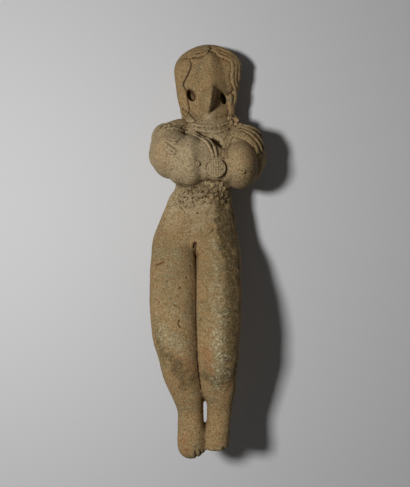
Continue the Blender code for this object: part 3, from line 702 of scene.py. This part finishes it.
def weather(skin):
    waves = wavyNoise(skin.points, *wear["waves"])
    grit = wavyNoise(skin.points, *wear["grit"])
    skin.press(-wear["waveHeight"] * waves - wear["gritHeight"] * grit)
    along = skin.points[:, 1] / share
    crumbled = np.max([np.clip(2 - np.abs(along - middle) / side, 0, 1)
                       for middle, side in wear["crumbledBands"]], axis=0)
    rough = wavyNoise(skin.points, *wear["crumble"])
    skin.press(-wear["crumbleHeight"] * rough * crumbled * (skin.outward[:, 2] > 0))
    for places, width, depth in cracks:
        skin.scratch(places, width * millimetre, depth * millimetre, sharpness=1.0)
    course, _ = skin.lay(wear["crustCourse"], 60)
    gap = skin.distance(course, 2 * wear["crustWidth"])
    patchy = wavyNoise(skin.points, *wear["patches"])
    cover = np.clip(wear["crustReach"] - gap / wear["crustWidth"] + wear["crustRaggedness"] * patchy, 0, 1)
    skin.press(-wear["crustThickness"] * cover)
    random = np.random.default_rng(wear["seed"])
    chosen = random.choice(len(skin.points), wear["pits"], replace=False)
    smallest, largest = wear["pitRadius"]
    radii = smallest + (largest - smallest) * random.random(wear["pits"]) ** 3
    for centre, radius in zip(skin.points[chosen].copy(), radii):
        near = np.all(np.abs(skin.points - centre) < radius, axis=1)
        gap = np.linalg.norm(skin.points[near] - centre, axis=1) / radius
        depth = wear["pitDepth"] * radius * np.clip(1 - gap**2, 0, 1)
        skin.points[near] -= skin.outward[near] * depth[:, None]


def paintMasks(mesh):
    # where the crust, the stains, the painted shade on the torso's right and in the hollows are, kept on the
    # mesh for its material
    skin = Surface(mesh)
    patchy = wavyNoise(skin.points, *wear["patches"])
    broad = wavyNoise(skin.points, *wear["broadPatches"])

    def cover(places, width, rough):
        course, _ = skin.lay(places, 24)
        gap = skin.distance(course, 3 * width)
        return np.clip(stainReach - gap / width + rough * patchy + stainBroadness * broad, 0, 1)

    along = skin.points[:, 1] / share
    pastStart = (along - bleachAndRightShade["from"]) / bleachAndRightShade["fromFade"]
    beforeEnd = (bleachAndRightShade["to"] - along) / bleachAndRightShade["toFade"]
    pale = np.minimum(pastStart, beforeEnd) + bleachAndRightShade["broadness"] * broad + bleachAndRightShade["patchiness"] * patchy
    # painted shade: the torso's right side, turned from the light, keeps less of the pale colour
    shadeTowardsRight = np.clip(skin.points[:, 0] / share / bleachAndRightShade["shadeRightEdge"], 0, bleachAndRightShade["shadeRightLoss"])
    masks = {"pale": np.clip(pale, 0, 1) * (1 - shadeTowardsRight)}
    for name, (found, rough) in stains.items():
        masks[name] = np.max([cover(places, width * millimetre, rough) * amount
                              for places, width, amount in found], axis=0)
    for name, (rounds, depth) in hollows.items():
        relaxed = Surface(worked(mesh, [("SMOOTH", {"factor": 0.5, "iterations": rounds})]))
        rise = np.einsum("ij,ij->i", relaxed.points - skin.points, skin.outward)
        masks[name] = np.clip(rise / (depth * millimetre), -1, 1)
    for name, values in masks.items():
        mesh.attributes.new(name, "FLOAT", "POINT").data.foreach_set("value", values.astype(np.float32))


def hexColour(code):
    # sRGB hex to linear
    parts = [int(code[i:i + 2], 16) / 255 for i in (1, 3, 5)]
    return [p / 12.92 if p <= 0.04045 else ((p + 0.055) / 1.055) ** 2.4 for p in parts] + [1]


def addNode(tree, kind, settings=None, links=None):
    node = tree.nodes.new(kind)
    for name, value in (settings or {}).items():
        if isinstance(name, int) or name in node.inputs:
            node.inputs[name].default_value = value
        else:
            setattr(node, name, value)
    for name, socket in (links or {}).items():
        tree.links.new(socket, node.inputs[name])
    return node


# Low-fired buff earthenware, modelled by hand and never glazed: matt and gritty, buff where the fire
# reached it evenly, orange where it burnt hotter, with grey-green lime from the ground, brown soil and
# painted shade in the broad hollows, and painted shade darkening every fine crease
earthenware = {
    "buff": "#A88A5E",
    "greyBuff": "#92805A",
    "warmBuff": "#A47F52",
    "pale": "#BBA783",
    "ochre": "#A06D40",
    "soil": "#6E5636",
    "speckled": "#5F4A2C",
    "olive": "#574B28",
    "rust": "#96573A",
    "lime": "#C8BD9A",
    "limeGreen": "#938A68",
    "deep": "#4A3320",
    "roughness": 0.9,
    "specular": 0.3,
    "grain": 0.30 * millimetre,
    "grainHeight": 0.05 * millimetre,
    "grainStrength": 0.6,
}

# Each pattern: its size, how much finer detail it has, and where it starts and is full. The specks
# and flecks are finer on the real clay and are drawn as coarse as they need to show
patterns = {
    "cloud": (7 * millimetre, 3, 0.35, 0.65),
    "mottle": (1.8 * millimetre, 4, 0.38, 0.66),
    "smudge": (1.1 * millimetre, 4, 0.48, 0.75),
    "speck": (0.38 * millimetre, 3, 0.45, 0.72),
    "fleck": (0.45 * millimetre, 4, 0.52, 0.74),
    "blot": (0.7 * millimetre, 5, 0.46, 0.64),
    "flake": (0.6 * millimetre, 5, 0.48, 0.66),
}

# How strongly each colour is laid on
amounts = {
    "mottle": 0.7,
    "pale": 0.8,
    "ochre": 0.45,
    "stainAndShade": 0.85,
    "smudge": 0.5,
    "speck": 0.85,
    "fleck": 0.5,
    "crust": 0.5,
    "blot": 0.7,
    "hollowSoilAndShade": 0.6,
    "creaseShade": 0.9,
}


def buffEarthenware():
    material = bpy.data.materials.new("buffEarthenware")
    material.use_nodes = True
    tree = material.node_tree
    shader = tree.nodes["Principled BSDF"]
    place = addNode(tree, "ShaderNodeTexCoord").outputs["Object"]

    def pattern(name):
        size, detail, low, high = patterns[name]
        tex = addNode(tree, "ShaderNodeTexNoise", {"Scale": 1 / size, "Detail": detail}, {"Vector": place})
        return addNode(tree, "ShaderNodeMapRange", {"From Min": low, "From Max": high},
                       {"Value": tex.outputs["Fac"]}).outputs["Result"]

    def mask(name, low=0.0, high=1.0):
        kept = addNode(tree, "ShaderNodeAttribute", {"attribute_name": name}).outputs["Fac"]
        return addNode(tree, "ShaderNodeMapRange", {"From Min": low, "From Max": high},
                       {"Value": kept}).outputs["Result"]

    def times(first, second):
        mathNode = addNode(tree, "ShaderNodeMath", {"operation": "MULTIPLY"})
        for i, value in enumerate((first, second)):
            if isinstance(value, float):
                mathNode.inputs[i].default_value = value
            else:
                tree.links.new(value, mathNode.inputs[i])
        return mathNode.outputs[0]

    def over(under, colour, amount):
        # lays one colour over another
        mix = addNode(tree, "ShaderNodeMix", {"data_type": "RGBA", 7: hexColour(colour)}, {0: amount})
        if isinstance(under, str):
            mix.inputs[6].default_value = hexColour(under)
        else:
            tree.links.new(under, mix.inputs[6])
        return mix.outputs[2]

    look = earthenware
    colour = over(look["buff"], look["greyBuff"], pattern("cloud"))
    colour = over(colour, look["warmBuff"], times(pattern("mottle"), amounts["mottle"]))
    colour = over(colour, look["pale"], times(mask("pale"), amounts["pale"]))
    colour = over(colour, look["ochre"], times(mask("ochre"), amounts["ochre"]))
    colour = over(colour, look["rust"], mask("ochre", 1.0, 1.7))
    # olive stain, with painted shade on the right arm and down the right leg's right side
    colour = over(colour, look["olive"], times(mask("stainAndShade"), amounts["stainAndShade"]))
    colour = over(colour, look["soil"], times(pattern("smudge"), amounts["smudge"]))
    colour = over(colour, look["speckled"], times(pattern("speck"), amounts["speck"]))
    colour = over(colour, look["lime"], times(pattern("fleck"), amounts["fleck"]))
    colour = over(colour, look["limeGreen"], times(mask("crust"), amounts["crust"]))
    colour = over(colour, look["deep"], times(times(mask("stainAndShade"), pattern("blot")), amounts["blot"]))
    colour = over(colour, look["lime"], times(mask("crust", 0.1, 0.8), pattern("flake")))
    # soil colour and painted shade in the broad hollows, then painted shade in the fine creases
    colour = over(colour, look["soil"], times(mask("hollowSoilAndShade", 0.25, 1.3), amounts["hollowSoilAndShade"]))
    colour = over(colour, look["deep"], times(mask("creaseShade", 0.1, 0.9), amounts["creaseShade"]))
    tree.links.new(colour, shader.inputs["Base Color"])
    shader.inputs["Roughness"].default_value = look["roughness"]
    shader.inputs["Specular IOR Level"].default_value = look["specular"]
    grain = addNode(tree, "ShaderNodeTexNoise", {"Scale": 1 / look["grain"], "Detail": 5}, {"Vector": place})
    bumpSettings = {"Strength": look["grainStrength"], "Distance": look["grainHeight"]}
    bump = addNode(tree, "ShaderNodeBump", bumpSettings, {"Height": grain.outputs["Fac"]})
    tree.links.new(bump.outputs["Normal"], shader.inputs["Normal"])
    return material


rawBody = Surface(fused(bodyClay(), body["cell"], body["smoothing"]))
rawBody.stroke(body["softJoins"], body["strokes"])
rawBody = Surface(rawBody.write())
pressBody(rawBody)
rawBody = Surface(rawBody.write())
print("body modelled:", len(rawBody.points), "points")
fine = Surface(fused(joined(rawBody.mesh, appliedClay(rawBody)), fineSkin["cell"], 0))
print("hair and jewellery laid on:", len(fine.points), "points")
incise(fine)
weather(fine)
print("surface cut and worn")
figurineMesh = worked(fine.write(), [
    ("DECIMATE", {"ratio": fineSkin["triangles"] / (2 * len(fine.mesh.polygons))}),
])
paintMasks(figurineMesh)
print("stains and hollows placed")
lensPlace = seatInFrame(figurineMesh, (0, lensAlong * share))
figurineMesh.shade_smooth()
figurineMesh.materials.append(buffEarthenware())
figurine = bpy.data.objects.new("figurineClay", figurineMesh)
bpy.context.scene.collection.objects.link(figurine)
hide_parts("figurine")
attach(figurine, "root")
print("figurine:", len(figurineMesh.polygons), "triangles")

# Floor, light and camera
studio = {
    "floorSize": 1.6,
    "floorColour": "#DADADB",
    "floorRoughness": 0.6,
    "keyPower": 0.565,
    "keySize": 0.035,
    "keyPlace": (-0.126, 0.02, 0.264),
    "fillStrength": 0.052,
    # the height of the photograph's frame and of its lens, in its pixels at the table, and one
    # such pixel in thousandths of the figure
    "frameHigh": 487,
    "lensHeight": 750,
    "pixel": 2.596,
    "sensorHeight": 24,
    "nearestSeen": 0.005,
}


def makeFloor():
    half = studio["floorSize"] / 2
    corners = [(-half, -half, 0), (half, -half, 0), (half, half, 0), (-half, half, 0)]
    mesh = bpy.data.meshes.new("floor")
    mesh.from_pydata(corners, [], [(0, 1, 2, 3)])
    material = bpy.data.materials.new("paleLaminate")
    material.use_nodes = True
    shader = material.node_tree.nodes["Principled BSDF"]
    shader.inputs["Base Color"].default_value = hexColour(studio["floorColour"])
    shader.inputs["Roughness"].default_value = studio["floorRoughness"]
    mesh.materials.append(material)
    floor = bpy.data.objects.new("floor", mesh)
    bpy.context.scene.collection.objects.link(floor)


def makeLight():
    lamp = bpy.data.lights.new("key", "AREA")
    lamp.size = studio["keySize"]
    lamp.energy = studio["keyPower"]
    key = bpy.data.objects.new("key", lamp)
    key.location = studio["keyPlace"]
    key.rotation_euler = Vector(studio["keyPlace"]).to_track_quat("Z", "Y").to_euler()
    bpy.context.scene.collection.objects.link(key)
    world = bpy.data.worlds.new("studio")
    world.use_nodes = True
    background = world.node_tree.nodes["Background"]
    background.inputs["Color"].default_value = (1, 1, 1, 1)
    background.inputs["Strength"].default_value = studio["fillStrength"]
    bpy.context.scene.world = world


def makeCamera():
    lens = bpy.data.cameras.new("camera")
    lens.sensor_fit = "VERTICAL"
    lens.sensor_height = studio["sensorHeight"]
    lens.lens = lens.sensor_height * studio["lensHeight"] / studio["frameHigh"]
    lens.clip_start = studio["nearestSeen"]
    camera = bpy.data.objects.new("camera", lens)
    height = studio["lensHeight"] * studio["pixel"] * share
    camera.location = (lensPlace[0], lensPlace[1], height)
    bpy.context.scene.collection.objects.link(camera)
    bpy.context.scene.camera = camera


makeFloor()
makeLight()
makeCamera()
print("floor, light and camera placed")
bpy.context.scene.view_settings.view_transform = "Standard"
